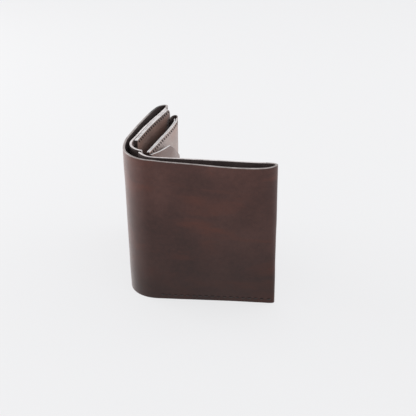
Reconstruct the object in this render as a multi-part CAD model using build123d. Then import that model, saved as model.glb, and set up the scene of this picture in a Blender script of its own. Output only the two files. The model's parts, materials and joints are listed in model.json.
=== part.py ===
from build123d import *
import os
from math import cos, hypot, pi, radians, sin, tan

os.makedirs("parts", exist_ok=True)

# Trifold wallet standing on its lower edge, half open. Millimetres, +Z up.
# The front leaf lies along X. The back leaf stands at leaf_angle to it.
# "u" runs along a leaf from its spine tangent, "w" from its outer face inward.

# Driving dimensions
height = 102.5
front_width = 80.5
back_width = 88.0
leaf_angle = 82.0
spine_radius = 25.0
cover_t = 1.5
card_t = 1.0
flap_t = 1.0
strip_t = 0.9
leaf_t = 1.1
front_gape = 11.0
back_gape = 6.5
back_bulge = 1.2
seam_gap = 0.5
foot_in = 2.2
foot_reach = 36.0
card_start = 7.0
card_inset = 5.9
card_corner = 7.0
card_mouth = 0.3
card_gap = 0.12
flap_start = 5.6
flap_inset = 7.0
flap_drop = 7.25
flap_offset = 15.0
flap_bow = 2.2
flap_corner = 4.0
leaf_gape = 4.9
leaf_drop = 1.6
leaf_corner = 33.5
leaf_fall = 27.6
fold_axis_inset = 2.5
fold_axis_w = 12.5
spine_axis_w = 15.0
layer_gap = 0.1
lining_gap = 0.22
strip_gap = 0.35
stitch_pitch = 4.0
stitch_length = 2.5
stitch_width = 0.6
stitch_height = 0.35
stitch_edge = 3.3
fine_stitch_edge = 2.2
fine_stitch_slant = -42.0
fine_stitch_end = 4.0
skin_gap = 0.08

# Derived places
beta = radians(leaf_angle)
tangent = spine_radius * tan((radians(180) - beta) / 2)
flap_low = flap_drop
flap_high = height - flap_drop
flap_end = back_width - flap_inset
card_length = back_width - card_inset - card_start
card_row_end = card_start + card_length - fine_stitch_end
fold_axis_u = back_width - fold_axis_inset
seam_w = 2 * cover_t + seam_gap
flap_bows = [(0.0, 0.0), (0.07, 0.13), (0.15, 0.27), (0.25, 0.39), (0.35, 0.5), (0.45, 0.68), (0.55, 0.86),
             (0.65, 0.97), (0.75, 1.0), (0.85, 0.9), (0.93, 0.5), (1.0, -0.4)]
leaf_rises = [0.0, 0.34, 0.59, 0.78, 0.92, 1.0, 0.9, 0.62, 0.36, 0.16, 0.06, 0.0]
spine_tucks = [0.9, 1.4, 1.3, 1.0, 0.6, 0.3, 0.1, 0.0, 0.0]
back_tucks = [spine_tucks[0], 0.2]
back_bulges = [0.0, 0.35, 0.7, 0.95, 1.0, 0.95, 0.75, 0.4]
lining_rises = [(0.065, 0.32), (0.2, 0.37), (0.34, 0.40), (0.48, 0.48), (0.62, 0.61), (0.76, 0.79), (0.85, 0.87),
                (0.93, 0.93)]
lining_rise = lining_rises[0][1] * back_gape


def on_front(u, w):
    return (tangent + u, w)


def on_back(u, w):
    d = tangent + u
    return (d * cos(beta) + w * sin(beta), d * sin(beta) - w * cos(beta))


def path(place, table):
    return [place(u, w) for u, w in table]


def offset(points, distance, before=None, after=None):
    # Each point moved to the left of the line's direction. The points before and
    # after belong to the next sheet, so two sheets that meet share an end face.
    moved = []
    around = [before or points[0]] + points + [after or points[-1]]
    for i, (x, y) in enumerate(points):
        ax, ay = around[i]
        bx, by = around[i + 2]
        length = hypot(bx - ax, by - ay)
        moved.append((x - (by - ay) / length * distance, y + (bx - ax) / length * distance))
    return moved


def spline_at(points, z):
    return Spline(*[(x, y, z) for x, y in points])


def strip_face(points, t, z, before, after):
    outer = spline_at(points, z)
    inner = spline_at(offset(points, t, before, after), z)
    start = Line(outer @ 0, inner @ 0)
    end = Line(outer @ 1, inner @ 1)
    return Face(Wire([outer, end, inner, start]))


def strip(low, high, t, z0, z1, before=(None, None), after=(None, None)):
    # A sheet of thickness t that follows one line at z0 and another at z1.
    faces = [strip_face(low, t, z0, before[0], after[0]), strip_face(high, t, z1, before[1], after[1])]
    return loft(faces, ruled=True)


def surface(low, high, z0, z1):
    # The point, direction and normal of a strip's face at (u, z), for stitches.
    a = spline_at(low, z0)
    b = spline_at(high, z1)

    def at(t, z):
        f = (z - z0) / (z1 - z0)
        p = (a @ t) * (1 - f) + (b @ t) * f
        along = ((a % t) * (1 - f) + (b % t) * f).normalized()
        up = ((b @ t) - (a @ t)).normalized()
        return p, along, up

    return at


def find_t(at, z, place, u, lo=0.0, hi=1.0):
    # The place on the strip whose distance along the leaf is u.
    origin = Vector(*place(0, 0), 0)
    axis = (Vector(*place(1, 0), 0) - origin).normalized()
    rising = (at(hi, z)[0] - at(lo, z)[0]).dot(axis) > 0
    for _ in range(26):
        mid = (lo + hi) / 2
        reached = (at(mid, z)[0] - origin).dot(axis)
        if (reached < u) == rising:
            lo = mid
        else:
            hi = mid
    return (lo + hi) / 2


def stitch_pad():
    return extrude(SlotOverall(stitch_length, stitch_width), stitch_height)


def place_stitch(at, t, z, side, lift, slant=0.0):
    p, along, up = at(t, z)
    normal = along.cross(up).normalized() * side
    run = along * cos(radians(slant)) + up * sin(radians(slant))
    plane = Plane(origin=p + normal * lift, x_dir=run, z_dir=normal)
    return plane * stitch_pad()


def row(at, place, u0, u1, z, side, lift, span=(0.0, 1.0), slant=0.0):
    count = max(2, int((u1 - u0) / stitch_pitch))
    pads = []
    for i in range(count):
        u = u0 + (i + 0.5) * (u1 - u0) / count
        pads.append(place_stitch(at, find_t(at, z, place, u, *span), z, side, lift, slant))
    return Compound(children=pads)


def column(at, place, u, z0, z1, side, lift):
    count = max(2, int((z1 - z0) / stitch_pitch))
    pads = []
    for i in range(count):
        z = z0 + (i + 0.5) * (z1 - z0) / count
        pads.append(place_stitch(at, find_t(at, z, place, u), z, side, lift, slant=90.0))
    return Compound(children=pads)


def prism(u0, u1, z0, z1, far_radius, cut=None):
    # A rounded outline on the back leaf's plane, deep enough to trim any sheet there.
    plane = Plane(origin=(0, 0, 0), x_dir=(cos(beta), sin(beta), 0), z_dir=(sin(beta), -cos(beta), 0))
    a = tangent + u0
    b = tangent + u1
    corners = [(a, z0), (b, z0), (b, z1), (a, z1)]
    if cut:
        corners = [(a, z0), (b, z0), (b, cut[1][1]), (tangent + cut[0][0], cut[0][1]), (a, z1)]
    face = make_face(Polyline(*corners, close=True))
    if far_radius:
        face = fillet([v for v in face.vertices() if v.X > b - 1e-3], far_radius)
    return extrude(plane * Pos(0, 0, -10) * face, 60)


# Outlines of the covers. Each table runs along the outer face, round the fold
# at the leaf's end and back along the face that looks into the wallet.

def fold_points(u_end, w_out, w_in, count=7):
    r = (w_in - w_out) / 2
    points = []
    for i in range(count):
        a = radians(-90 + 180 * i / (count - 1))
        points.append((u_end - r + r * cos(a), w_out + r + r * sin(a)))
    return points


def front_low():
    steps = [0, 0.04, 0.11, 0.19, 0.27, 0.35, 0.43, 0.51, 0.59, 0.67, 0.75, 0.83, 0.9]
    out = [(s * front_width, 0.0) for s in steps]
    fold = fold_points(front_width - 0.6, 0.0, seam_w)
    back = [(s * front_width, seam_w) for s in (0.9, 0.82, 0.66, 0.5, 0.34, 0.18, 0.02)]
    tip = [(-3.6, seam_w + 1.0), (-7.4, seam_w + 3.9), (-10.3, seam_w + 8.3)]
    return path(on_front, out + fold + back + tip)


def front_high():
    g = front_gape
    n = front_width
    out = [(0.0, 0.20), (0.04, 0.27), (0.11, 0.36), (0.19, 0.44), (0.27, 0.53), (0.35, 0.63)]
    out += [(0.43, 0.74), (0.51, 0.84), (0.59, 0.92), (0.67, 0.98), (0.75, 1.0), (0.83, 0.97), (0.9, 0.84)]
    line = [(s * n, -g * k) for s, k in out]
    line += [(n * 0.942, -g * 0.66), (n * 0.97, -g * 0.44), (n * 0.981, -g * 0.26)]
    line += [(n * 0.978, -g * 0.10), (n * 0.962, 0.2), (n * 0.94, 0.85), (n * 0.915, 1.15)]
    line += [(n * 0.885, 1.3), (n * 0.82, 1.45), (n * 0.66, 2.0), (n * 0.5, 2.7)]
    line += [(n * 0.34, 3.4), (n * 0.18, 4.2), (n * 0.02, 5.0)]
    line += [(-3.8, 6.1), (-7.6, 9.0), (-10.5, 13.0)]
    return path(on_front, line)


def foot(u):
    # How far the back leaf's lower edge stands in near the spine.
    return foot_in * (1 + cos(pi * min(1.0, max(0.0, u / foot_reach)))) / 2


def standing_in(table):
    return [(u, w + foot(u)) for u, w in table]


def back_low():
    steps = [0, 0.08, 0.18, 0.3, 0.42, 0.54, 0.66, 0.77, 0.86, 0.92]
    tucks = back_tucks + [0.0] * 8
    out = [(s * back_width, w) for s, w in zip(steps, tucks)]
    fold = fold_points(back_width - 0.8, 0.0, seam_w)
    back = [(s * back_width, seam_w) for s in (0.92, 0.86, 0.76, 0.62, 0.48, 0.34, 0.2, 0.065)]
    return path(on_back, standing_in(out + fold + back))


def back_high():
    n = back_width
    g = back_gape
    steps = [0, 0.08, 0.18, 0.3, 0.42, 0.54, 0.66, 0.77]
    tucks = back_tucks + [0.0] * 6
    line = [(s * n, w - back_bulge * k) for s, w, k in zip(steps, tucks, back_bulges)]
    turn = [(0.86, 0.02), (0.92, 0.12), (0.957, 0.28), (0.98, 0.48), (0.989, 0.68)]
    turn += [(0.981, 0.85), (0.96, 0.955), (0.938, 0.99), (0.915, 1.0)]
    line += [(n * s, (seam_w + 0.9 * g) * k) for s, k in turn]
    line += [(n * 0.89, seam_w + g * 0.9)]
    line += [(n * s, seam_w + g * k) for s, k in reversed(lining_rises[:-1])]
    return path(on_back, line)


def spine_arc(foot_share):
    # A round bend, drawn in a little where it leaves the back leaf.
    centre = on_back(0, spine_radius)
    last = len(spine_tucks) - 1
    points = []
    for i, tuck in enumerate(spine_tucks):
        a = radians(90 + leaf_angle) + (pi - beta) * i / last
        r = spine_radius - tuck - foot_share * (1 + cos(pi * i / last)) / 2
        points.append((centre[0] + r * cos(a), centre[1] + r * sin(a)))
    return points


def spine_low():
    return spine_arc(foot_in)


def spine_high():
    # The upper edge leaves the arc where the front leaf opens out.
    points = spine_arc(0.0)
    last = len(points) - 1
    end = on_front(0, -front_gape * 0.20)
    shift = (end[0] - points[last][0], end[1] - points[last][1])
    return [(x + shift[0] * (i / last) ** 1.5, y + shift[1] * (i / last) ** 1.5)
            for i, (x, y) in enumerate(points)]


def tongue_low():
    table = [(0.065 * back_width, seam_w), (2.4, seam_w + 0.3), (-1.4, seam_w + 1.9)]
    table += [(-5.2, seam_w + 4.8), (-7.7, seam_w + 7.7), (-9.2, seam_w + 10.4), (-9.9, seam_w + 13.0)]
    return path(on_back, standing_in(table))


def tongue_high():
    w = seam_w + lining_rise
    table = [(0.065 * back_width, w), (2.2, w + 0.35), (-1.5, w + 1.5)]
    table += [(-5.3, w + 3.9), (-7.7, w + 6.4), (-9.1, w + 8.8), (-9.7, w + 11.2)]
    return path(on_back, table)


def card_lines(level):
    # Both ends of the card layers, level 0 against the lining, level 1 over it.
    steps = [0.0, 0.05, 0.1, 0.16, 0.24, 0.34, 0.48, 0.62, 0.76, 0.88, 1.0]
    lines = []
    for gape in (0.0, back_gape):
        table = []
        for s in steps:
            u = card_start + s * card_length
            lift = card_mouth * max(0.0, 1 - s / 0.3) ** 1.6
            w = seam_w + gape * between(lining_rises, u / back_width) + lining_gap + lift
            w += level * (card_t + card_gap)
            table.append((u, w))
        lines.append(path(on_back, table if lines else standing_in(table)))
    return lines


def between(keys, x):
    if x <= keys[0][0]:
        return keys[0][1]
    for (x0, y0), (x1, y1) in zip(keys, keys[1:]):
        if x <= x1:
            return y0 + (y1 - y0) * (x - x0) / (x1 - x0)
    return keys[-1][1]


def flap_line(extra, end):
    table = []
    for s, k in flap_bows:
        table.append((flap_start + s * (end - flap_start), flap_offset + flap_bow * k + extra))
    return path(on_back, table)


def pocket_lines():
    base = flap_offset + 2 * flap_t + 3 * layer_gap
    low = []
    high = []
    for (s, bow), rise in zip(flap_bows, leaf_rises):
        u = flap_start + s * (flap_end - flap_start)
        low.append((u, base + flap_bow * bow))
        high.append((u, base + flap_bow * bow + leaf_gape * rise))
    return path(on_back, low), path(on_back, high)


def fold_strip_line(lean):
    # Leather hinge from the card layers' far end round to the flap.
    start = seam_w + lining_gap + 2 * card_t + card_gap + strip_gap + strip_t + back_gape * lean
    rise = flap_offset + 1.9 * flap_t + flap_bow * flap_bows[-1][1] - start
    turn = [(-6.0, 0.0), (-2.5, 0.02), (0.6, 0.08), (2.6, 0.27), (3.4, 0.53), (2.8, 0.8), (1.5, 0.96), (0.1, 1.0)]
    return path(on_back, [(flap_end + u, start + k * rise) for u, k in turn])


def front_cover():
    before = (spine_low()[-2], spine_high()[-2])
    return strip(front_low(), front_high(), cover_t, 0, height, before)


def back_cover():
    before = (spine_low()[1], spine_high()[1])
    after = (tongue_low()[1], tongue_high()[1])
    return strip(back_low(), back_high(), -cover_t, 0, height, before, after)


def spine_cover():
    before = (back_low()[1], back_high()[1])
    after = (front_low()[1], front_high()[1])
    return strip(spine_low(), spine_high(), cover_t, 0, height, before, after)


def lining_tongue():
    before = (back_low()[-2], back_high()[-2])
    return strip(tongue_low(), tongue_high(), -cover_t, 0, height, before)


def card_layer(level):
    low, high = card_lines(level)
    sheet = strip(low, high, -card_t, 0.6, height)
    return sheet & prism(card_start - 5, card_start + card_length - level * 1.2, 0.6, height, card_corner)


def flap_layer(level):
    end = flap_end - (1 - level) * 1.6
    line = flap_line(level * (flap_t + layer_gap), end)
    sheet = strip(line, line, -flap_t, flap_low, flap_high)
    return sheet & prism(flap_start - 4, end, flap_low, flap_high, flap_corner)


def pocket_leaf():
    low, high = pocket_lines()
    top = flap_high - leaf_drop
    sheet = strip(low, high, -leaf_t, flap_low, top)
    cut = ((leaf_corner, top - 0.11 * (leaf_corner - flap_start)), (flap_end, top - 3.4 - leaf_fall))
    return sheet & prism(flap_start - 4, flap_end, flap_low, top, 0, cut)


def fold_strip():
    low = fold_strip_line(0.07)
    high = fold_strip_line(0.87)
    return strip(low, high, strip_t, flap_low, flap_high)


def card_face():
    low, high = card_lines(1)
    return surface(offset(low, -card_t), offset(high, -card_t), 0.6, height)


def flap_face():
    line = offset(flap_line(flap_t + layer_gap, flap_end), -flap_t)
    return surface(line, line, flap_low, flap_high)


def pocket_face():
    low, high = pocket_lines()
    return surface(offset(low, -leaf_t), offset(high, -leaf_t), flap_low, flap_high - leaf_drop)


def stitch_front_hem():
    at = surface(front_low(), front_high(), 0, height)
    return row(at, on_front, 2, front_width - 3, stitch_edge, 1, skin_gap, (0.0, 0.44))


def stitch_front_lining():
    at = surface(front_low(), front_high(), 0, height)
    return row(at, on_front, 2, front_width - 5, stitch_edge, 1, skin_gap, (0.53, 0.93))


def stitch_back_hem():
    at = surface(back_low(), back_high(), 0, height)
    return row(at, on_back, 2, back_width - 5, stitch_edge, -1, skin_gap, (0.0, 0.46))


def stitch_card_top():
    z = height - fine_stitch_edge
    return row(card_face(), on_back, card_start + 2, card_row_end, z, 1, skin_gap, slant=fine_stitch_slant)


def stitch_card_low():
    z = 0.6 + fine_stitch_edge
    return row(card_face(), on_back, card_start + 2, card_row_end, z, 1, skin_gap, slant=-fine_stitch_slant)


def stitch_flap_top():
    z = flap_high - fine_stitch_edge
    return row(flap_face(), on_back, flap_start + 2, flap_end - fine_stitch_end, z, 1, skin_gap, slant=fine_stitch_slant)


def stitch_pocket_low():
    return row(pocket_face(), on_back, flap_start + 2, flap_end - 3, flap_low + stitch_edge, 1, skin_gap)


def stitch_pocket_side():
    at = pocket_face()
    return column(at, on_back, flap_start + 1.6, flap_low + 2, flap_high - 8, 1, skin_gap)


nodes = {
    "back_cover": back_cover(),
    "spine_cover": spine_cover(),
    "lining_tongue": lining_tongue(),
    "card_backing": card_layer(0),
    "card_pocket": card_layer(1),
    "flap_fold_strip": fold_strip(),
    "front_cover": front_cover(),
    "flap_back": flap_layer(0),
    "flap_front": flap_layer(1),
    "pocket_leaf": pocket_leaf(),
    "stitch_front_hem": stitch_front_hem(),
    "stitch_front_lining": stitch_front_lining(),
    "stitch_back_hem": stitch_back_hem(),
    "stitch_card_top": stitch_card_top(),
    "stitch_card_low": stitch_card_low(),
    "stitch_flap_top": stitch_flap_top(),
    "stitch_pocket_low": stitch_pocket_low(),
    "stitch_pocket_side": stitch_pocket_side(),
}

# The part's origin is the middle of its bounding box, on the floor.
low = [min(getattr(s.bounding_box().min, c) for s in nodes.values()) for c in "XYZ"]
high = [max(getattr(s.bounding_box().max, c) for s in nodes.values()) for c in "XYZ"]
shift = (-(low[0] + high[0]) / 2, -(low[1] + high[1]) / 2, -low[2])

spine_reach = spine_axis_w / sin(beta / 2)
spine_axis = (spine_reach * cos(beta / 2) + shift[0], spine_reach * sin(beta / 2) + shift[1])
flap_axis = on_back(fold_axis_u, fold_axis_w)
flap_axis = (flap_axis[0] + shift[0], flap_axis[1] + shift[1])
print("shift", shift, "size", [b - a for a, b in zip(low, high)])
print("spine axis", spine_axis, "flap axis", flap_axis)

for name, shape in nodes.items():
    export_step(Pos(*shift) * shape, f"parts/{name}.step")
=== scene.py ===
import json
import math

import bpy
import numpy as np
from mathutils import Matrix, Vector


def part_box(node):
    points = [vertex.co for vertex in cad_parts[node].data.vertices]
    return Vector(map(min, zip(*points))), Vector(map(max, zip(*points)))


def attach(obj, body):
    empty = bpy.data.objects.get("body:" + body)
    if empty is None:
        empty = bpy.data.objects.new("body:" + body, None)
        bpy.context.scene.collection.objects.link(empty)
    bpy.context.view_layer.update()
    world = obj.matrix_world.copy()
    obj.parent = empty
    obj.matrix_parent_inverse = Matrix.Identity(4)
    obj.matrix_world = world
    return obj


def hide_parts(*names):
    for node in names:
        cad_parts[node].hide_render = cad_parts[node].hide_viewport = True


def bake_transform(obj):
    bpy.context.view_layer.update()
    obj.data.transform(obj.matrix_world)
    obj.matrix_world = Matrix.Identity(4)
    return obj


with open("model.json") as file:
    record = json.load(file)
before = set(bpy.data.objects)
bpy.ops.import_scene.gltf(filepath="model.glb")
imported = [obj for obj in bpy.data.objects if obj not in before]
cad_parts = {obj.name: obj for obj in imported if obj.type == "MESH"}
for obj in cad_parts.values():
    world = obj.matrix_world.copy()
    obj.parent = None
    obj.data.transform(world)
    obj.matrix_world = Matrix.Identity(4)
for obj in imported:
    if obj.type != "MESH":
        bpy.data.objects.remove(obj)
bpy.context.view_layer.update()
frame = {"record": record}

# Trifold wallet standing on its lower edge, half open. Shapes are worked out in millimetres
# in plan: u runs along a leaf from the spine, w from its outer face inward.

# ------------------------------------------------------------------ sizes

HEIGHT = (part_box("back_cover")[1][2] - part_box("back_cover")[0][2]) * 1000
FRONT_W, BACK_W = 80.5, 88.0
BETA = math.radians(82.0)
RADIUS = 25.0
CARD_LOW = 0.6
COVER_T, CARD_T, FLAP_T, STRIP_T, LEAF_T = 1.5, 1.0, 1.0, 0.9, 1.1
FRONT_GAPE, BACK_GAPE, BACK_BULGE, LEAF_GAPE = 11.0, 6.5, 1.2, 4.9
SEAM_W = 2 * COVER_T + 0.5
CARD_START, CARD_INSET, CARD_CORNER, CARD_MOUTH = 7.0, 5.9, 7.0, 0.3
CARD_LENGTH = BACK_W - CARD_INSET - CARD_START
CARD_STEP, FLAP_STEP = 1.2, 1.6
FOOT_IN, FOOT_REACH = 2.2, 36.0
CARD_GAP, LINING_GAP, LAYER_GAP, STRIP_GAP = 0.12, 0.22, 0.1, 0.35
FLAP_START, FLAP_END = 5.6, BACK_W - 7.0
FLAP_LOW, FLAP_HIGH = 7.25, HEIGHT - 7.25
FLAP_OFFSET, FLAP_BOW, FLAP_CORNER = 15.0, 2.2, 4.0
LEAF_TOP = FLAP_HIGH - 1.6
SLANT_FROM, SLANT_DROP, SLANT_FALL = 33.5 - FLAP_START, 0.11, 27.6
SEAM_Z, FINE_SEAM, FINE_SEAM_END, FINE_SLANT = 3.3, 2.2, 4.0, -42.0
PITCH, ROW_START = 4.0, 2.0
CARD_THREAD = {"length": 3.5, "radius": 0.5}
FLAP_THREAD = {"length": 3.0, "radius": 0.42, "slant": FINE_SLANT}
ROLL = 0.22
DARK_BLEND = 6.0
AXIS_DEPTH = 15.0
BACK_BULGES = [0.0, 0.35, 0.7, 0.95, 1.0, 0.95, 0.75, 0.4]
LINING_RISES = [(0.065, 0.32), (0.2, 0.37), (0.34, 0.40), (0.48, 0.48), (0.62, 0.61), (0.76, 0.79),
                (0.85, 0.87), (0.93, 0.93)]
FLAP_BOWS = [(0.0, 0.0), (0.07, 0.13), (0.15, 0.27), (0.25, 0.39), (0.35, 0.5), (0.45, 0.68), (0.55, 0.86),
             (0.65, 0.97), (0.75, 1.0), (0.85, 0.9), (0.93, 0.5), (1.0, -0.4)]
LEAF_RISES = [0.0, 0.34, 0.59, 0.78, 0.92, 1.0, 0.9, 0.62, 0.36, 0.16, 0.06, 0.0]
SPINE_TUCK = [0.9, 1.4, 1.3, 1.0, 0.6, 0.3, 0.1, 0.0, 0.0]
CAMERA_FROM_CORNER, CAMERA_PITCH, CAMERA_TURN = (100.26, -475.03, 292.0), 65.0, 4.425

TANGENT = RADIUS * math.tan((math.pi - BETA) / 2)
JOINTS = {j["name"]: j for j in frame["record"]["behaviour"]["joints"]}
SPINE = np.array(JOINTS["spine_fold"]["pos_m"][:2]) * 1000
CORNER = SPINE - AXIS_DEPTH / math.sin(BETA / 2) * np.array([math.cos(BETA / 2), math.sin(BETA / 2)])
ALONG_BACK = np.array([math.cos(BETA), math.sin(BETA)])
INTO_BACK = np.array([math.sin(BETA), -math.cos(BETA)])


def on_front(u, w):
    return CORNER + np.array([TANGENT + u, w])


def on_back(u, w):
    return CORNER + (TANGENT + u) * ALONG_BACK + w * INTO_BACK


def between(keys, x):
    return np.interp(x, [k[0] for k in keys], [k[1] for k in keys])


# ------------------------------------------------------------------ outlines in plan

def half_round(u_end, w_in, count=7):
    r = w_in / 2
    angles = np.radians(np.linspace(-90, 90, count))
    return [(u_end - r + r * math.cos(a), r + r * math.sin(a)) for a in angles]


def front_lines():
    """Outer face, fold at the free end, inner wall and its loose tip, at the foot and at the top."""
    n, g = FRONT_W, FRONT_GAPE
    steps = [0, 0.04, 0.11, 0.19, 0.27, 0.35, 0.43, 0.51, 0.59, 0.67, 0.75, 0.83, 0.9]
    opening = [0.20, 0.27, 0.36, 0.44, 0.53, 0.63, 0.74, 0.84, 0.92, 0.98, 1.0, 0.97, 0.84]
    low = [(s * n, 0.0) for s in steps] + half_round(n - 0.6, SEAM_W)
    low += [(s * n, SEAM_W) for s in (0.9, 0.82, 0.66, 0.5, 0.34, 0.18, 0.02)]
    low += [(-3.6, SEAM_W + 1.0), (-7.4, SEAM_W + 3.9), (-10.3, SEAM_W + 8.3)]
    high = [(s * n, -g * k) for s, k in zip(steps, opening)]
    high += [(n * s, -g * k) for s, k in ((0.942, 0.66), (0.97, 0.44), (0.981, 0.26), (0.978, 0.10))]
    high += [(n * s, w) for s, w in ((0.962, 0.2), (0.94, 0.85), (0.915, 1.15), (0.885, 1.3), (0.82, 1.45))]
    high += [(n * s, w) for s, w in ((0.66, 2.0), (0.5, 2.7), (0.34, 3.4), (0.18, 4.2), (0.02, 5.0))]
    high += [(-3.8, 6.1), (-7.6, 9.0), (-10.5, 13.0)]
    return [on_front(*p) for p in low], [on_front(*p) for p in high]


def foot(u):
    """How far the back leaf's lower edge stands in near the spine."""
    return FOOT_IN * (1 + math.cos(math.pi * min(1.0, max(0.0, u / FOOT_REACH)))) / 2


def back_lines():
    n, g = BACK_W, BACK_GAPE
    steps = [0, 0.08, 0.18, 0.3, 0.42, 0.54, 0.66, 0.77]
    tuck = [SPINE_TUCK[0], 0.2] + [0.0] * 8
    low = [(s * n, w) for s, w in zip(steps + [0.86, 0.92], tuck)] + half_round(n - 0.8, SEAM_W)
    low += [(s * n, SEAM_W) for s in (0.92, 0.86, 0.76, 0.62, 0.48, 0.34, 0.2, 0.065)]
    high = [(s * n, w - BACK_BULGE * k) for s, w, k in zip(steps, tuck, BACK_BULGES)]
    turn = [(0.86, 0.02), (0.92, 0.12), (0.957, 0.28), (0.98, 0.48), (0.989, 0.68)]
    turn += [(0.981, 0.85), (0.96, 0.955), (0.938, 0.99), (0.915, 1.0)]
    high += [(n * s, (SEAM_W + 0.9 * g) * k) for s, k in turn]
    high += [(n * s, SEAM_W + g * k) for s, k in [(0.89, 0.9)] + LINING_RISES[-2::-1]]
    return [on_back(u, w + foot(u)) for u, w in low], [on_back(*p) for p in high]


def spine_lines():
    """A round bend, drawn in a little where it leaves the back leaf."""
    centre = on_back(0, RADIUS)
    lean = on_front(0, -FRONT_GAPE * 0.20) - on_front(0, 0)
    low, high = [], []
    for f, tuck in zip(np.linspace(0, 1, len(SPINE_TUCK)), SPINE_TUCK):
        a = math.pi / 2 + BETA + (math.pi - BETA) * f
        ray = np.array([math.cos(a), math.sin(a)])
        low.append(centre + (RADIUS - tuck - FOOT_IN * (1 + math.cos(math.pi * f)) / 2) * ray)
        high.append(centre + (RADIUS - tuck) * ray + lean * f**1.5)
    return low, high


def tongue_lines():
    """The loose end of the back leaf's inner wall, curling inside the spine."""
    curl = [(2.4, 0.3), (-1.4, 1.9), (-5.2, 4.8), (-7.7, 7.7), (-9.2, 10.4), (-9.9, 13.0)]
    low = [on_back(u, SEAM_W + w + foot(u)) for u, w in curl]
    w0 = SEAM_W + BACK_GAPE * LINING_RISES[0][1]
    curl = [(2.2, 0.35), (-1.5, 1.5), (-5.3, 3.9), (-7.7, 6.4), (-9.1, 8.8), (-9.7, 11.2)]
    return low, [on_back(u, w0 + w) for u, w in curl]


def cover_lines():
    """The whole outer skin from the tongue's tip round the wallet to the front wall's tip."""
    lines = []
    for tongue, back, spine, front in zip(tongue_lines(), back_lines(), spine_lines(), front_lines()):
        lines.append(tongue[::-1] + back[::-1] + spine[1:-1] + front)
    return lines


def card_lines(level):
    lines = []
    for gape in (0.0, BACK_GAPE):
        line = []
        for s in (0.0, 0.05, 0.1, 0.16, 0.24, 0.34, 0.48, 0.62, 0.76, 0.88, 1.0):
            u = CARD_START + s * CARD_LENGTH
            mouth = CARD_MOUTH * max(0.0, 1 - s / 0.3) ** 1.6
            w = SEAM_W + gape * between(LINING_RISES, u / BACK_W) + LINING_GAP + mouth
            w += 0 if gape else foot(u)
            line.append(on_back(u, w + level * (CARD_T + CARD_GAP)))
        lines.append(line)
    return lines


def flap_line(level):
    end = FLAP_END - (1 - level) * FLAP_STEP
    w = FLAP_OFFSET + level * (FLAP_T + LAYER_GAP)
    return [on_back(FLAP_START + s * (end - FLAP_START), w + FLAP_BOW * k) for s, k in FLAP_BOWS]


def pocket_lines():
    base = FLAP_OFFSET + 2 * FLAP_T + 3 * LAYER_GAP
    low, high = [], []
    for (s, bow), rise in zip(FLAP_BOWS, LEAF_RISES):
        u = FLAP_START + s * (FLAP_END - FLAP_START)
        low.append(on_back(u, base + FLAP_BOW * bow))
        high.append(on_back(u, base + FLAP_BOW * bow + LEAF_GAPE * rise))
    return low, high


def strip_lines():
    """The leather hinge from the card layers' far end round to the inner leaf."""
    card_face = SEAM_W + LINING_GAP + 2 * CARD_T + CARD_GAP + STRIP_GAP + STRIP_T
    out = FLAP_OFFSET + FLAP_T + STRIP_T + FLAP_BOW * FLAP_BOWS[-1][1]
    turn = [(-6, 0), (-2.5, 0.02), (0.6, 0.08), (2.6, 0.27), (3.4, 0.53), (2.8, 0.8), (1.5, 0.96), (0.1, 1.0)]
    lines = []
    for lean in (0.07, 0.87):
        start = card_face + BACK_GAPE * lean
        lines.append([on_back(FLAP_END + u, start + k * (out - start)) for u, k in turn])
    return lines


# ------------------------------------------------------------------ leather sheets

class Curve:
    """A natural cubic spline through plan points, asked for by point number."""

    def __init__(self, points):
        p = np.array(points, float)
        t = np.concatenate([[0], np.cumsum(np.linalg.norm(np.diff(p, axis=0), axis=1))])
        n, h = len(p), np.diff(t)
        a, b = np.zeros((n, n)), np.zeros((n, 2))
        a[0, 0] = a[-1, -1] = 1
        for i in range(1, n - 1):
            a[i, i - 1:i + 2] = h[i - 1], 2 * (h[i - 1] + h[i]), h[i]
            b[i] = 6 * ((p[i + 1] - p[i]) / h[i] - (p[i] - p[i - 1]) / h[i - 1])
        self.p, self.t, self.m = p, t, np.linalg.solve(a, b)

    def __call__(self, number):
        x = np.interp(number, np.arange(len(self.t)), self.t)
        i = np.clip(np.searchsorted(self.t, x, side="right") - 1, 0, len(self.t) - 2)
        h = (self.t[i + 1] - self.t[i])[:, None]
        a = (self.t[i + 1] - x)[:, None] / h
        b = 1 - a
        bend = (a**3 - a) * self.m[i] + (b**3 - b) * self.m[i + 1]
        return a * self.p[i] + b * self.p[i + 1] + bend * h * h / 6


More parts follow.
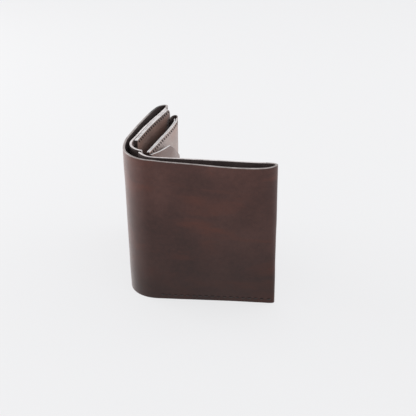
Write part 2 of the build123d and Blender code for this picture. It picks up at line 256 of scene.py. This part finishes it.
class Sheet:
    """Leather between a lower and an upper line. Its thickness lies to the left of the line's
    direction, or to the right where side is -1. s is the distance along it, z the height."""

    def __init__(self, low, high, z0, z1, t, side=1, relief=None):
        self.low, self.high = Curve(low), Curve(high)
        self.z0, self.z1, self.t, self.side = z0, z1, t, side
        self.relief = relief or (lambda s, z: 0 * s * z)
        self.number = np.linspace(0, len(low) - 1, 2400)
        mid = (self.low(self.number) + self.high(self.number)) / 2
        self.distance = np.concatenate([[0], np.cumsum(np.linalg.norm(np.diff(mid, axis=0), axis=1))])
        self.length = float(self.distance[-1])
        self.seams = []

    def s_of(self, number):
        return float(np.interp(number, self.number, self.distance))

    def s_at(self, place, u, span):
        """The distance along the sheet, within span, where it is u from the leaf's spine end."""
        s = np.linspace(*span, 1200)
        plan = self.base(s, np.full_like(s, (self.z0 + self.z1) / 2))[:, :2]
        along = (plan - place(0, 0)) @ (place(1, 0) - place(0, 0))
        return float(s[np.argmin(np.abs(along - u))])

    def base(self, s, z):
        number = np.interp(s, self.distance, self.number).ravel()
        f = ((z - self.z0) / (self.z1 - self.z0))[..., None]
        plan = self.low(number).reshape(*s.shape, 2) * (1 - f) + self.high(number).reshape(*s.shape, 2) * f
        return np.concatenate([plan, z[..., None]], axis=-1)

    def frame(self, s, z):
        s, z = (np.array(x) for x in np.broadcast_arrays(np.asarray(s, float), np.asarray(z, float)))
        e = 0.15
        along = self.base(np.minimum(s + e, self.length), z) - self.base(np.maximum(s - e, 0), z)
        up = self.base(s, z + e) - self.base(s, z - e)
        along /= np.linalg.norm(along, axis=-1, keepdims=True)
        up /= np.linalg.norm(up, axis=-1, keepdims=True)
        through = np.cross(up, along) * self.side
        through /= np.linalg.norm(through, axis=-1, keepdims=True)
        return self.base(s, z) + through * self.relief(s, z)[..., None], along, up, through

    def columns(self, s0, s1, step):
        """Distances along the sheet, closer together where it bends."""
        s = np.linspace(s0, s1, 3000)
        tightest = np.zeros_like(s)
        for z in (self.z0, self.z1):
            d = np.diff(self.base(s, np.full_like(s, z))[:, :2], axis=0)
            turn = np.abs(np.diff(np.unwrap(np.arctan2(d[:, 1], d[:, 0])))) / (s[1] - s[0])
            tightest = np.maximum(tightest, np.concatenate([[0], turn, [0]]))
        tightest = np.convolve(tightest, np.ones(9) / 9, mode="same")
        density = np.maximum(1 / step, tightest / 0.16)
        total = np.concatenate([[0], np.cumsum((density[1:] + density[:-1]) / 2 * (s[1] - s[0]))])
        return np.interp(np.linspace(0, total[-1], int(math.ceil(total[-1])) + 1), total, s)


def waves(seed, size):
    """Soft unevenness of worked leather, the same in every run."""
    rng = np.random.default_rng(seed)
    parts = []
    for scale, share in ((90, 1.0), (55, 0.6), (31, 0.35), (17, 0.14), (8, 0.05)):
        parts.append((scale, share, rng.uniform(0, math.pi), *rng.uniform(0, 2 * math.pi, 2)))

    def height(s, z):
        out = 0.0 * s * z
        for scale, share, turn, a, b in parts:
            x = (s * math.cos(turn) + z * math.sin(turn)) / scale * 2 * math.pi
            y = (z * math.cos(turn) - s * math.sin(turn)) / scale * 2 * math.pi
            out = out + share * (np.sin(x + a) + 0.6 * np.sin(1.3 * y + b)) * size
        return out

    return height


def stitch_count(a, b):
    return max(2, int((b - a) / PITCH))


def pull(seams, s, z):
    """How far the leather is drawn down along its rows of stitches, most at the holes."""
    out = 0.0 * s * z
    for kind, at, a, b in seams:
        across, along = (z, s) if kind == "row" else (s, z)
        inside = 1 / (1 + np.exp(-(along - a) / 0.6)) / (1 + np.exp((along - b) / 0.6))
        hole = np.cos((along - a) / (b - a) * stitch_count(a, b) * 2 * math.pi)
        near = np.exp(-((across - at) / 0.7) ** 2)
        wide = np.exp(-((across - at) / 2.1) ** 2)
        out = out + inside * (near * (0.09 + 0.07 * hole) + wide * 0.08)
    return out


def levels(z0, z1, marks, step=1.7):
    at = [z0]
    while at[-1] < z1:
        x = at[-1]
        away = min([abs(x - m) for m in marks] + [x - z0 + 0.6, max(z1 - x, 0) + 0.6, 99])
        at.append(x + min(step, max(0.3, 0.28 * away)))
    at = np.array(at)
    return (at - z0) / (at[-1] - z0)


RIM = [(0.05, 0.42), (0.2, 0.82), (0.5, 1.0), (0.8, 0.82), (0.95, 0.42)]


def show(name, data):
    """A new object in the scene."""
    item = bpy.data.objects.new(name, data)
    bpy.context.scene.collection.objects.link(item)
    return item


def spread(sheet, s0, s1, step, outline, extra):
    """The piece's grid of distances and heights, finer at bends and seams."""
    z0, z1 = sheet.z0 + ROLL, sheet.z1 - ROLL
    s = sheet.columns(s0, s1, step)
    if len(extra):
        s = np.unique(np.round(np.concatenate([s, [x for x in extra if s0 < x < s1]]), 4))
    bottom, top = outline(s, s0, s1, z0, z1) if outline else (np.full_like(s, z0), np.full_like(s, z1))
    v = levels(z0, z1, [at for kind, at, a, b in sheet.seams if kind == "row"])
    return np.repeat(s[:, None], len(v), axis=1), bottom[:, None] + v[None, :] * (top - bottom)[:, None]


def border(n, m):
    """The grid's border points, in order."""
    loop = [(i, 0) for i in range(n)] + [(n - 1, j) for j in range(1, m)]
    loop += [(i, m - 1) for i in range(n - 2, -1, -1)] + [(0, j) for j in range(m - 2, 0, -1)]
    return np.array(loop).T


def outward(ring):
    """The way out of the flat leather at each border point."""
    tangent = np.roll(ring, -1, axis=0) - np.roll(ring, 1, axis=0)
    away = np.stack([tangent[:, 1], -tangent[:, 0]], axis=1)
    return away / np.linalg.norm(away, axis=1, keepdims=True)


def grid_faces(n, m):
    i, j = np.meshgrid(np.arange(n - 1), np.arange(m - 1), indexing="ij")
    return np.stack([i * m + j, (i + 1) * m + j, (i + 1) * m + j + 1, i * m + j + 1], axis=-1).reshape(-1, 4)


def rim_faces(at_border, size):
    """Strips from the outer face's border over the rounded edge to the inner face's."""
    count = len(at_border)
    rows = [at_border] + [2 * size + k * count + np.arange(count) for k in range(len(RIM))]
    rows += [size + at_border]
    return [np.stack([a, b, np.roll(b, -1), np.roll(a, -1)], axis=-1) for a, b in zip(rows, rows[1:])]


def flat_places(flat, quad, ring, away, thickness):
    """Where each face lies on the leather before it was folded, for its grain."""
    back = flat * [-1, 1] + [0, 400]
    places = [flat[quad], back[quad[:, ::-1]]]
    strips = len(RIM) + 1
    for k in range(strips):
        a = ring + away * (k / strips * thickness + 0.02) + [0, 900]
        b = ring + away * ((k + 1) / strips * thickness + 0.02) + [0, 900]
        places.append(np.stack([a, b, np.roll(b, -1, axis=0), np.roll(a, -1, axis=0)], axis=1))
    return np.concatenate(places)


def leather(name, sheet, materials, span=None, step=1.0, joined=(False, False), outline=None, extra=()):
    """One closed piece of leather with rounded cut edges. materials are for the face on the
    line, the face behind it, the cut edge and its upright stretch at the start, and may have a
    fifth for the upright stretch at the end. A joined end carries on in another piece."""
    s0, s1 = span or (0.0, sheet.length)
    s0, s1 = s0 + (0 if joined[0] else ROLL), s1 - (0 if joined[1] else ROLL)
    S, Z = spread(sheet, s0, s1, step, outline, extra)
    base, along, up, through = sheet.frame(S, Z)
    drawn = pull(sheet.seams, S, Z)[..., None]
    outer = base + through * drawn
    inner = base + through * (sheet.t - drawn)

    n, m = S.shape
    li, lj = border(n, m)
    ring = np.stack([S[li, lj], Z[li, lj]], axis=1)
    away = outward(ring)
    near_end, far_end = away[:, 0] < -0.8, away[:, 0] > 0.8
    closing = np.zeros(len(ring), bool)
    for column in [c for c, goes_on in zip((0, n - 1), joined) if goes_on]:
        at_end = li == column
        away[at_end] = 0
        away[at_end & (lj == 0)] = (0, -1)
        away[at_end & (lj == m - 1)] = (0, 1)
        closing |= at_end & np.roll(at_end, -1)
    reach = along[li, lj] * away[:, :1] + up[li, lj] * away[:, 1:]
    rim = [outer[li, lj] * (1 - a) + inner[li, lj] * a + reach * ROLL * h for a, h in RIM]

    verts = np.concatenate([outer.reshape(-1, 3), inner.reshape(-1, 3), *rim]) / 1000
    quad, strips = grid_faces(n, m), rim_faces(li * m + lj, n * m)
    faces = np.concatenate([quad, n * m + quad[:, ::-1], *strips])
    cut = np.where(near_end & np.roll(near_end, -1), 3, 2)
    if len(materials) > 4:
        cut = np.where(far_end & np.roll(far_end, -1), 4, cut)
    kinds = np.concatenate([np.zeros(len(quad)), np.ones(len(quad)), np.tile(cut, len(strips))]).astype(int)
    smooth = np.concatenate([np.ones(2 * len(quad), bool), ~np.tile(closing, len(strips))])
    uv = flat_places(np.stack([S.ravel(), Z.ravel()], axis=1), quad, ring, away, sheet.t)
    if sheet.side < 0:
        faces, uv = faces[:, ::-1], uv[:, ::-1]

    mesh = bpy.data.meshes.new(name)
    mesh.from_pydata(verts.tolist(), [], faces.tolist())
    for material in materials:
        mesh.materials.append(material)
    mesh.polygons.foreach_set("material_index", kinds)
    mesh.polygons.foreach_set("use_smooth", smooth)
    mesh.uv_layers.new(name="flat").data.foreach_set("uv", (uv / 1000).ravel())
    mesh.update()
    return show(name, mesh)


def tube_faces(first, rings, around):
    """The skin and the two ends of a stitch whose points start at first."""
    faces = []
    for r in range(rings - 1):
        one, two = first + r * around, first + (r + 1) * around
        faces += [(one + q, one + (q + 1) % around, two + (q + 1) % around, two + q) for q in range(around)]
    faces.append(tuple(first + q for q in range(around))[::-1])
    faces.append(tuple(first + (rings - 1) * around + q for q in range(around)))
    return faces


def threads(name, sheet, seam, face, seed, length=2.9, radius=0.36, slant=6.0):
    """Waxed stitches along a seam. Each one arches out of its two holes. face is -1 for the
    stitches on the sheet's line and 1 for those behind it. slant is degrees from the row."""
    rng = np.random.default_rng(seed)
    kind, at, a, b = seam
    verts, faces = [], []
    rings, around = 11, 8
    for k in range(stitch_count(a, b)):
        centre = a + (k + 0.5) * (b - a) / stitch_count(a, b)
        s, z = (centre, at) if kind == "row" else (at, centre)
        base, along, up, through = (x[0] for x in sheet.frame(np.array([s]), np.array([z])))
        out = through * face
        surface = base + through * (sheet.t if face > 0 else 0) - out * 0.12
        run, across = (along, up) if kind == "row" else (up, along)
        tilt = math.radians(rng.normal(slant, 1.6))
        run, across = (run * math.cos(tilt) + across * math.sin(tilt),
                       across * math.cos(tilt) - run * math.sin(tilt))
        half = length / 2 * rng.uniform(0.94, 1.04)
        slack = rng.uniform(0.9, 1.1)
        faces += tube_faces(len(verts), rings, around)
        for x in np.linspace(-1, 1, rings):
            lift = 0.20 * slack * (1 - abs(x) ** 3) - 0.34 * abs(x) ** 7
            thick = radius * (1 - 0.35 * abs(x) ** 6)
            for angle in np.arange(around) * 2 * math.pi / around + x * 0.8:
                offset = across * (math.cos(angle) * thick) + out * (math.sin(angle) * thick * 0.82 + lift)
                verts.append((surface + run * (x * half) + offset) / 1000)
    mesh = bpy.data.meshes.new(name)
    mesh.from_pydata([tuple(v) for v in verts], [], faces)
    mesh.materials.append(THREAD)
    mesh.polygons.foreach_set("use_smooth", [True] * len(mesh.polygons))
    mesh.update()
    return show(name, mesh)


# ------------------------------------------------------------------ materials

def new_material(name):
    material = bpy.data.materials.new(name)
    material.use_nodes = True
    tree = material.node_tree
    return material, tree.nodes, tree.links, tree.nodes["Principled BSDF"]


def add(nodes, kind, inputs=(), **values):
    node = nodes.new(kind)
    for key, value in values.items():
        setattr(node, key, value)
    for key, value in dict(inputs).items():
        node.inputs[key].default_value = value
    return node


def ramp(nodes, stops):
    node = nodes.new("ShaderNodeValToRGB")
    elements = node.color_ramp.elements
    while len(elements) < len(stops):
        elements.new(0.5)
    for element, (at, colour) in zip(elements, stops):
        element.position = at
        element.color = (*colour, 1)
    return node


def weigh(nodes, links, a, share, b):
    """a times share, plus b."""
    node = add(nodes, "ShaderNodeMath", {1: share}, operation="MULTIPLY_ADD")
    links.new(a, node.inputs[0])
    if isinstance(b, (int, float)):
        node.inputs[2].default_value = b
    else:
        links.new(b, node.inputs[2])
    return node.outputs[0]


def millimetres(nodes, links, stretch=(1, 1)):
    """Flat position on the leather, in millimetres."""
    coordinates = nodes.new("ShaderNodeTexCoord")
    scale = add(nodes, "ShaderNodeMapping", {"Scale": (1000 * stretch[0], 1000 * stretch[1], 1000)})
    links.new(coordinates.outputs["UV"], scale.inputs["Vector"])
    return scale.outputs["Vector"]


def noise(nodes, links, at, scale, detail=5.0, rough=0.6, distortion=0.0):
    node = add(nodes, "ShaderNodeTexNoise",
               {"Scale": scale, "Detail": detail, "Roughness": rough, "Distortion": distortion})
    links.new(at, node.inputs["Vector"])
    return node.outputs["Fac"]


def times(nodes, links, a, b):
    """One colour times another."""
    node = add(nodes, "ShaderNodeMix", {"Factor": 1.0}, data_type="RGBA", blend_type="MULTIPLY")
    links.new(a, node.inputs["A"])
    links.new(b, node.inputs["B"])
    return node.outputs["Result"]


def emboss(nodes, links, bsdf, height, strength, distance=0.0003):
    bump = add(nodes, "ShaderNodeBump", {"Strength": strength, "Distance": distance})
    links.new(height, bump.inputs["Height"])
    links.new(bump.outputs["Normal"], bsdf.inputs["Normal"])


def grain_leather(name, dark, mid, light, warm, roughness=(0.30, 0.42), specular=0.3, sheen=0.0, painted_light_by_height=None):
    """Smooth full-grain leather: pebbled grain, pores, faint creases, cloudy and streaky dye.
    An optional pair scales the colour from the lower to the upper edge: painted light from above, darker
    towards the bottom and lighter towards the top."""
    material, nodes, links, bsdf = new_material(name)
    at = millimetres(nodes, links)
    cloud = noise(nodes, links, at, 0.030, 4.0, 0.55)
    streak = noise(nodes, links, millimetres(nodes, links, (0.35, 1.0)), 0.050, 5.0, 0.6, 0.6)
    mottle = noise(nodes, links, at, 0.30, 6.0, 0.68)
    fine = noise(nodes, links, at, 2.6, 4.0, 0.6)
    crease = noise(nodes, links, millimetres(nodes, links, (1.5, 0.5)), 0.16, 7.0, 0.72, 1.8)
    wander = add(nodes, "ShaderNodeVectorMath", operation="MULTIPLY_ADD")
    wander.inputs[1].default_value = (0.8, 0.8, 0.8)
    soft = add(nodes, "ShaderNodeTexNoise", {"Scale": 0.9, "Detail": 3.0})
    links.new(at, soft.inputs["Vector"])
    links.new(soft.outputs["Color"], wander.inputs[0])
    links.new(at, wander.inputs[2])
    cells = add(nodes, "ShaderNodeTexVoronoi", {"Scale": 1.25}, feature="DISTANCE_TO_EDGE")
    links.new(wander.outputs[0], cells.inputs["Vector"])
    shade = weigh(nodes, links, mottle, 0.3, weigh(nodes, links, fine, 0.2, 0.0))
    shade = weigh(nodes, links, cloud, 0.5, shade)
    colour = ramp(nodes, [(0.38, dark), (0.5, mid), (0.63, light)])
    links.new(shade, colour.inputs["Fac"])
    patches = ramp(nodes, [(0.50, (0, 0, 0)), (0.68, (1, 1, 1))])
    links.new(streak, patches.inputs["Fac"])
    reddened = add(nodes, "ShaderNodeMix", {"B": (*warm, 1)}, data_type="RGBA")
    links.new(patches.outputs["Color"], reddened.inputs["Factor"])
    links.new(colour.outputs["Color"], reddened.inputs["A"])
    pores = ramp(nodes, [(0.0, (0.80, 0.80, 0.80)), (0.14, (1, 1, 1))])
    links.new(cells.outputs["Distance"], pores.inputs["Fac"])
    tinted = times(nodes, links, reddened.outputs["Result"], pores.outputs["Color"])
    # Painted light: the colour is scaled by height, as light falls from above.
    if painted_light_by_height:
        place = nodes.new("ShaderNodeSeparateXYZ")
        links.new(at, place.inputs["Vector"])
        brightness = add(nodes, "ShaderNodeMapRange",
                   {"From Min": 0.0, "From Max": HEIGHT, "To Min": painted_light_by_height[0], "To Max": painted_light_by_height[1]})
        links.new(place.outputs["Y"], brightness.inputs["Value"])
        strength = add(nodes, "ShaderNodeVectorMath", operation="SCALE")
        links.new(tinted, strength.inputs[0])
        links.new(brightness.outputs["Result"], strength.inputs["Scale"])
        tinted = strength.outputs["Vector"]
    links.new(tinted, bsdf.inputs["Base Color"])
    bsdf.inputs["Sheen Weight"].default_value = sheen
    bsdf.inputs["Sheen Roughness"].default_value = 0.35
    bsdf.inputs["Sheen Tint"].default_value = (1.0, 0.94, 0.92, 1)
    gloss = add(nodes, "ShaderNodeMapRange",
                {"From Min": 0.3, "From Max": 0.7, "To Min": roughness[0], "To Max": roughness[1]})
    links.new(mottle, gloss.inputs["Value"])
    links.new(gloss.outputs["Result"], bsdf.inputs["Roughness"])
    bsdf.inputs["Specular IOR Level"].default_value = specular
    capped = add(nodes, "ShaderNodeMath", {1: 0.2}, operation="MINIMUM")
    links.new(cells.outputs["Distance"], capped.inputs[0])
    height = weigh(nodes, links, fine, 0.16, weigh(nodes, links, crease, 0.5, 0.0))
    emboss(nodes, links, bsdf, weigh(nodes, links, capped.outputs[0], 1.1, height), 0.30)
    return material


def flesh_leather(name, dark, light):
    """The underside of the leather: matt, with short fibres."""
    material, nodes, links, bsdf = new_material(name)
    nap = noise(nodes, links, millimetres(nodes, links, (1.0, 2.2)), 1.6, 6.0, 0.7)
    cloud = noise(nodes, links, millimetres(nodes, links), 0.06, 3.0)
    colour = ramp(nodes, [(0.38, dark), (0.62, light)])
    links.new(weigh(nodes, links, nap, 0.5, weigh(nodes, links, cloud, 0.5, 0.0)), colour.inputs["Fac"])
    links.new(colour.outputs["Color"], bsdf.inputs["Base Color"])
    bsdf.inputs["Roughness"].default_value = 0.88
    bsdf.inputs["Specular IOR Level"].default_value = 0.25
    emboss(nodes, links, bsdf, nap, 0.45)
    return material


def cut_edge(name, dark, light, darker_span=None):
    """The raw cut through the leather, lightly rubbed smooth, with its fibres and dye stains.
    Between an optional pair of distances along the leather, the edge is darkened to 0.16 of its colour."""
    material, nodes, links, bsdf = new_material(name)
    at = millimetres(nodes, links)
    fibre = noise(nodes, links, at, 2.8, 6.0, 0.72)
    stain = noise(nodes, links, at, 0.16, 4.0)
    colour = ramp(nodes, [(0.40, dark), (0.56, light)])
    shade = weigh(nodes, links, fibre, 0.45, weigh(nodes, links, stain, 0.55, 0.0))
    links.new(shade, colour.inputs["Fac"])
    shown = colour.outputs["Color"]
    # Darker between the two distances, blended in at each end.
    if darker_span:
        place = nodes.new("ShaderNodeSeparateXYZ")
        links.new(at, place.inputs["Vector"])
        start, end = darker_span[0] - DARK_BLEND, darker_span[1] + 2 * DARK_BLEND
        share = add(nodes, "ShaderNodeMapRange", {"From Min": start, "From Max": end})
        links.new(place.outputs["X"], share.inputs["Value"])
        plain, darker, fading = (1, 1, 1), (0.16, 0.16, 0.16), DARK_BLEND / (end - start)
        brightness = ramp(nodes, [(0.0, plain), (fading, darker), (1 - 2 * fading, darker), (1.0, plain)])
        links.new(share.outputs["Result"], brightness.inputs["Fac"])
        shown = times(nodes, links, shown, brightness.outputs["Color"])
    links.new(shown, bsdf.inputs["Base Color"])
    bsdf.inputs["Roughness"].default_value = 0.55
    emboss(nodes, links, bsdf, fibre, 0.4)
    return material


def waxed_thread(name, dark, light):
    """Twisted, waxed thread."""
    material, nodes, links, bsdf = new_material(name)
    coordinates = nodes.new("ShaderNodeTexCoord")
    twist = add(nodes, "ShaderNodeTexWave", {"Scale": 700.0, "Distortion": 3.0, "Detail": 2.0},
                bands_direction="DIAGONAL")
    links.new(coordinates.outputs["Object"], twist.inputs["Vector"])
    colour = ramp(nodes, [(0.1, dark), (0.9, light)])
    links.new(twist.outputs["Fac"], colour.inputs["Fac"])
    links.new(colour.outputs["Color"], bsdf.inputs["Base Color"])
    bsdf.inputs["Roughness"].default_value = 0.42
    emboss(nodes, links, bsdf, twist.outputs["Fac"], 0.6, 0.0002)
    return material


# The cover's colour runs from 0.55 at the lower edge to 1.48 at the upper: painted shade low down, painted
# light high up.
COVER = grain_leather("cover_grain", (0.030, 0.0105, 0.0080), (0.045, 0.0165, 0.0128),
                      (0.062, 0.0245, 0.0190), (0.068, 0.0200, 0.0125), roughness=(0.38, 0.50), sheen=0.5,
                      painted_light_by_height=(0.55, 1.48))
# Lit and shaded copies of one inner leather. The inside copy is the lightest, painted light and painted
# reflection for the inner leaf's faces; the card copy is painted shade for the card stack's face deep between
# the leaves; the pocket copy is painted shade for the pocket leaf inside the wallet.
INSIDE_PAINTED_LIGHT = grain_leather("inside_grain_painted_light", (0.245, 0.178, 0.158), (0.318, 0.240, 0.216), (0.392, 0.306, 0.279),
                       (0.310, 0.190, 0.154), specular=0.5)
CARD_PAINTED_SHADE = grain_leather("card_grain_painted_shade", (0.125, 0.078, 0.066), (0.168, 0.110, 0.095), (0.214, 0.148, 0.129),
                     (0.215, 0.128, 0.102), specular=0.45)
POCKET_PAINTED_SHADE = grain_leather("pocket_grain_painted_shade", (0.135, 0.080, 0.068), (0.175, 0.110, 0.094), (0.220, 0.146, 0.124),
                       (0.190, 0.102, 0.080), specular=0.4)
FLESH = flesh_leather("flesh_side", (0.034, 0.023, 0.022), (0.074, 0.054, 0.051))
WALL_EDGE = cut_edge("wall_cut_edge", (0.35, 0.312, 0.303), (0.56, 0.517, 0.508))
EDGE = cut_edge("inner_cut_edge", (0.40, 0.378, 0.373), (0.61, 0.585, 0.58))
# A dark copy of the cut edge, painted shade: on the upright edge stretches, which face away from the light
# from above, and on the hinge strip's edges down in the fold.
EDGE_PAINTED_SHADE = cut_edge("edge_painted_shade", (0.030, 0.020, 0.018), (0.075, 0.052, 0.045))
THREAD = waxed_thread("waxed_thread", (0.010, 0.006, 0.006), (0.030, 0.019, 0.017))

# ------------------------------------------------------------------ the cover leather and its two inner walls

FRONT_HEM_WIDTH, BACK_HEM_WIDTH = 79, 86
POINTS = {"tongue": len(tongue_lines()[0]), "back": len(back_lines()[0]), "spine": len(spine_lines()[0]) - 2}
BACK_RETURN, FRONT_RETURN = 7, 20
skin = Sheet(*cover_lines(), 0.0, HEIGHT, COVER_T, 1, waves(11, 0.11))
back_from = skin.s_of(POINTS["tongue"] + BACK_RETURN)
spine_from = skin.s_of(POINTS["tongue"] + POINTS["back"] - 1)
front_from = skin.s_of(sum(POINTS.values()))
front_to = skin.s_of(sum(POINTS.values()) + FRONT_RETURN)
# The cover's cut edge is darkened between these distances, near the back leaf's far fold.
COVER_EDGE = cut_edge("cover_cut_edge", (0.155, 0.128, 0.121), (0.31, 0.274, 0.264),
                      (back_from + 14.0, back_from + 29.0))

front_hem = ("row", SEAM_Z, front_from + ROW_START,
             skin.s_at(on_front, FRONT_W - 3, (front_from, front_from + FRONT_HEM_WIDTH)))
front_wall = ("row", SEAM_Z, skin.s_at(on_front, FRONT_W - 6, (front_to - 6, skin.length)),
              skin.s_at(on_front, 2.0, (front_to, skin.length)))
back_hem = ("row", SEAM_Z, skin.s_at(on_back, BACK_W - 5, (spine_from - BACK_HEM_WIDTH, spine_from)),
            spine_from - ROW_START)
back_wall = ("row", SEAM_Z, skin.s_at(on_back, 8.0, (0, back_from)),
             skin.s_at(on_back, BACK_W - 9, (0, back_from)))
skin.seams = [front_hem, front_wall, back_hem, back_wall]

THREADS = {}


def sew(name, sheet, seam, face, seed, body, node, **size):
    """A row of stitches that rides on a body and stands for its CAD node."""
    row = THREADS[name] = threads(name, sheet, seam, face, seed, **size)
    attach(row, body)
    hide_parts(node)


cover = leather("cover_leather", skin, (COVER, FLESH, COVER_EDGE, EDGE_PAINTED_SHADE), (back_from, front_to),
                joined=(True, True))
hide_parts("back_cover", "spine_cover", "front_cover")
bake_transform(cover)

front_inner = leather("front_inner_wall", skin, (COVER, FLESH, WALL_EDGE, WALL_EDGE), (front_to, skin.length),
                      joined=(True, False))
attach(front_inner, "front_leaf")

back_inner = leather("back_inner_wall", skin, (COVER, FLESH, WALL_EDGE, WALL_EDGE), (0, back_from),
                     joined=(False, True))
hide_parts("lining_tongue")
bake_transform(back_inner)

sew("front_hem_threads", skin, front_hem, -1, 21, "front_leaf", "stitch_front_hem")
sew("front_wall_threads", skin, front_wall, -1, 22, "front_leaf", "stitch_front_lining")
sew("back_hem_threads", skin, back_hem, -1, 23, "back_leaf", "stitch_back_hem")

# ------------------------------------------------------------------ card layers on the back leaf


def rounded_far_corners(radius):
    def outline(s, s0, s1, z0, z1):
        x = np.clip(s - (s1 - radius), 0, radius)
        rise = radius - np.sqrt(np.maximum(radius**2 - x**2, 0))
        return z0 + rise, z1 - rise

    return outline


def corner_columns(s1, radius):
    return s1 - ROLL - radius + radius * np.sin(np.radians(np.arange(6, 90, 6)))


for level, name, node in ((0, "card_backing_leather", "card_backing"),
                          (1, "card_pocket_leather", "card_pocket")):
    card = Sheet(*card_lines(level), CARD_LOW, HEIGHT, CARD_T, -1, waves(31, 0.06))
    end = card.length - level * CARD_STEP
    card.seams = [("row", z, ROW_START, card.length - FINE_SEAM_END)
                  for z in (HEIGHT - FINE_SEAM, CARD_LOW + FINE_SEAM)]
    piece = leather(name, card, (FLESH, CARD_PAINTED_SHADE, EDGE, EDGE_PAINTED_SHADE), (0, end), outline=rounded_far_corners(CARD_CORNER),
                    extra=corner_columns(end, CARD_CORNER))
    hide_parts(node)
    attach(piece, "back_leaf")
top_seam, low_seam = card.seams
for name, seam, seed, node, slant in (("card_top_threads", top_seam, 24, "stitch_card_top", FINE_SLANT),
                                      ("card_low_threads", low_seam, 25, "stitch_card_low", -FINE_SLANT)):
    sew(name, card, seam, 1, seed, "back_leaf", node, slant=slant, **CARD_THREAD)

# ------------------------------------------------------------------ inner leaf, hinge strip, slanted pocket

flap_relief = waves(41, 0.06)
for level, name, node, faces in ((0, "flap_back_leather", "flap_back", (INSIDE_PAINTED_LIGHT, FLESH, EDGE, EDGE_PAINTED_SHADE)),
                                 (1, "flap_front_leather", "flap_front", (FLESH, INSIDE_PAINTED_LIGHT, EDGE, EDGE_PAINTED_SHADE))):
    flap = Sheet(flap_line(level), flap_line(level), FLAP_LOW, FLAP_HIGH, FLAP_T, -1, flap_relief)
    if level:
        flap.seams = [("row", FLAP_HIGH - FINE_SEAM, ROW_START, flap.length - FINE_SEAM_END)]
    piece = leather(name, flap, faces, outline=rounded_far_corners(FLAP_CORNER),
                    extra=corner_columns(flap.length, FLAP_CORNER))
    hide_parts(node)
    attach(piece, "inner_leaf")
sew("flap_top_threads", flap, flap.seams[0], 1, 26, "inner_leaf", "stitch_flap_top", **FLAP_THREAD)

strip = Sheet(*strip_lines(), FLAP_LOW, FLAP_HIGH, STRIP_T, 1, waves(51, 0.03))
piece = leather("fold_strip_leather", strip, (FLESH, INSIDE_PAINTED_LIGHT, EDGE_PAINTED_SHADE, EDGE_PAINTED_SHADE, INSIDE_PAINTED_LIGHT), step=0.8)
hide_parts("flap_fold_strip")
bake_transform(piece)


def slanted_top(s, s0, s1, z0, z1):
    top = z1 - SLANT_DROP * np.minimum(s, SLANT_FROM)
    fall = np.clip((s - SLANT_FROM) / (s1 - SLANT_FROM), 0, 1)
    return np.full_like(s, z0), top - SLANT_FALL * fall


pocket = Sheet(*pocket_lines(), FLAP_LOW, LEAF_TOP, LEAF_T, -1, waves(61, 0.05))
pocket_low = ("row", FLAP_LOW + SEAM_Z, ROW_START, pocket.length - 3.0)
pocket_side = ("column", 1.6, FLAP_LOW + ROW_START, FLAP_HIGH - 8)
pocket.seams = [pocket_low, pocket_side]
pocket_piece = leather("pocket_leaf_leather", pocket, (FLESH, POCKET_PAINTED_SHADE, EDGE, EDGE_PAINTED_SHADE), outline=slanted_top)
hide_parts("pocket_leaf")
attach(pocket_piece, "inner_leaf")
sew("pocket_low_threads", pocket, pocket_low, 1, 27, "inner_leaf", "stitch_pocket_low")
sew("pocket_side_threads", pocket, pocket_side, 1, 28, "inner_leaf", "stitch_pocket_side")

# ------------------------------------------------------------------ floor, light and camera

FLOOR = 6.0
floor_mesh = bpy.data.meshes.new("floor")
floor_mesh.from_pydata([(-FLOOR, -FLOOR, 0), (FLOOR, -FLOOR, 0), (FLOOR, FLOOR, 0), (-FLOOR, FLOOR, 0)], [],
                       [(0, 1, 2, 3)])
paper, nodes, links, bsdf = new_material("paper")
bsdf.inputs["Base Color"].default_value = (0.105, 0.105, 0.1065, 1)
bsdf.inputs["Emission Color"].default_value = (0.99, 0.99, 1.0, 1)
bsdf.inputs["Emission Strength"].default_value = 0.725
bsdf.inputs["Roughness"].default_value = 0.9
bsdf.inputs["Specular IOR Level"].default_value = 0.1
floor_mesh.materials.append(paper)
show("floor", floor_mesh)

world = bpy.data.worlds.new("studio")
world.use_nodes = True
background = world.node_tree.nodes["Background"]
background.inputs["Color"].default_value = (0.97, 0.98, 1.0, 1)
background.inputs["Strength"].default_value = 1.0
bpy.context.scene.world = world


def softbox(name, place, target, size, power):
    """A rectangular light at a place, turned to face the target."""
    data = bpy.data.lights.new(name, "AREA")
    data.shape = "RECTANGLE"
    data.size, data.size_y = size
    data.energy = power
    light = show(name, data)
    light.location = place
    direction = np.array(target) - np.array(place)
    light.rotation_euler = (math.atan2(math.hypot(direction[0], direction[1]), -direction[2]),
                            0, math.atan2(-direction[0], direction[1]))


softbox("top_softbox", (0.1, 0.25, 1.3), (0, 0, 0), (1.6, 1.6), 3)
softbox("left_softbox", (-1.05, 0.3, 0.26), (0, 0, 0.05), (0.9, 0.5), 15)
softbox("right_softbox", (1.0, 0.35, 0.5), (0, 0.05, 0.05), (0.8, 0.8), 4.5)

camera_data = bpy.data.cameras.new("camera")
camera_data.sensor_width = 36
camera_data.lens = 70.2
camera = show("camera", camera_data)
camera.location = [x / 1000 for x in np.append(CORNER, 0) + CAMERA_FROM_CORNER]
camera.rotation_euler = (math.radians(CAMERA_PITCH), 0, math.radians(CAMERA_TURN))
bpy.context.scene.camera = camera
bpy.context.scene.view_settings.view_transform = "Standard"
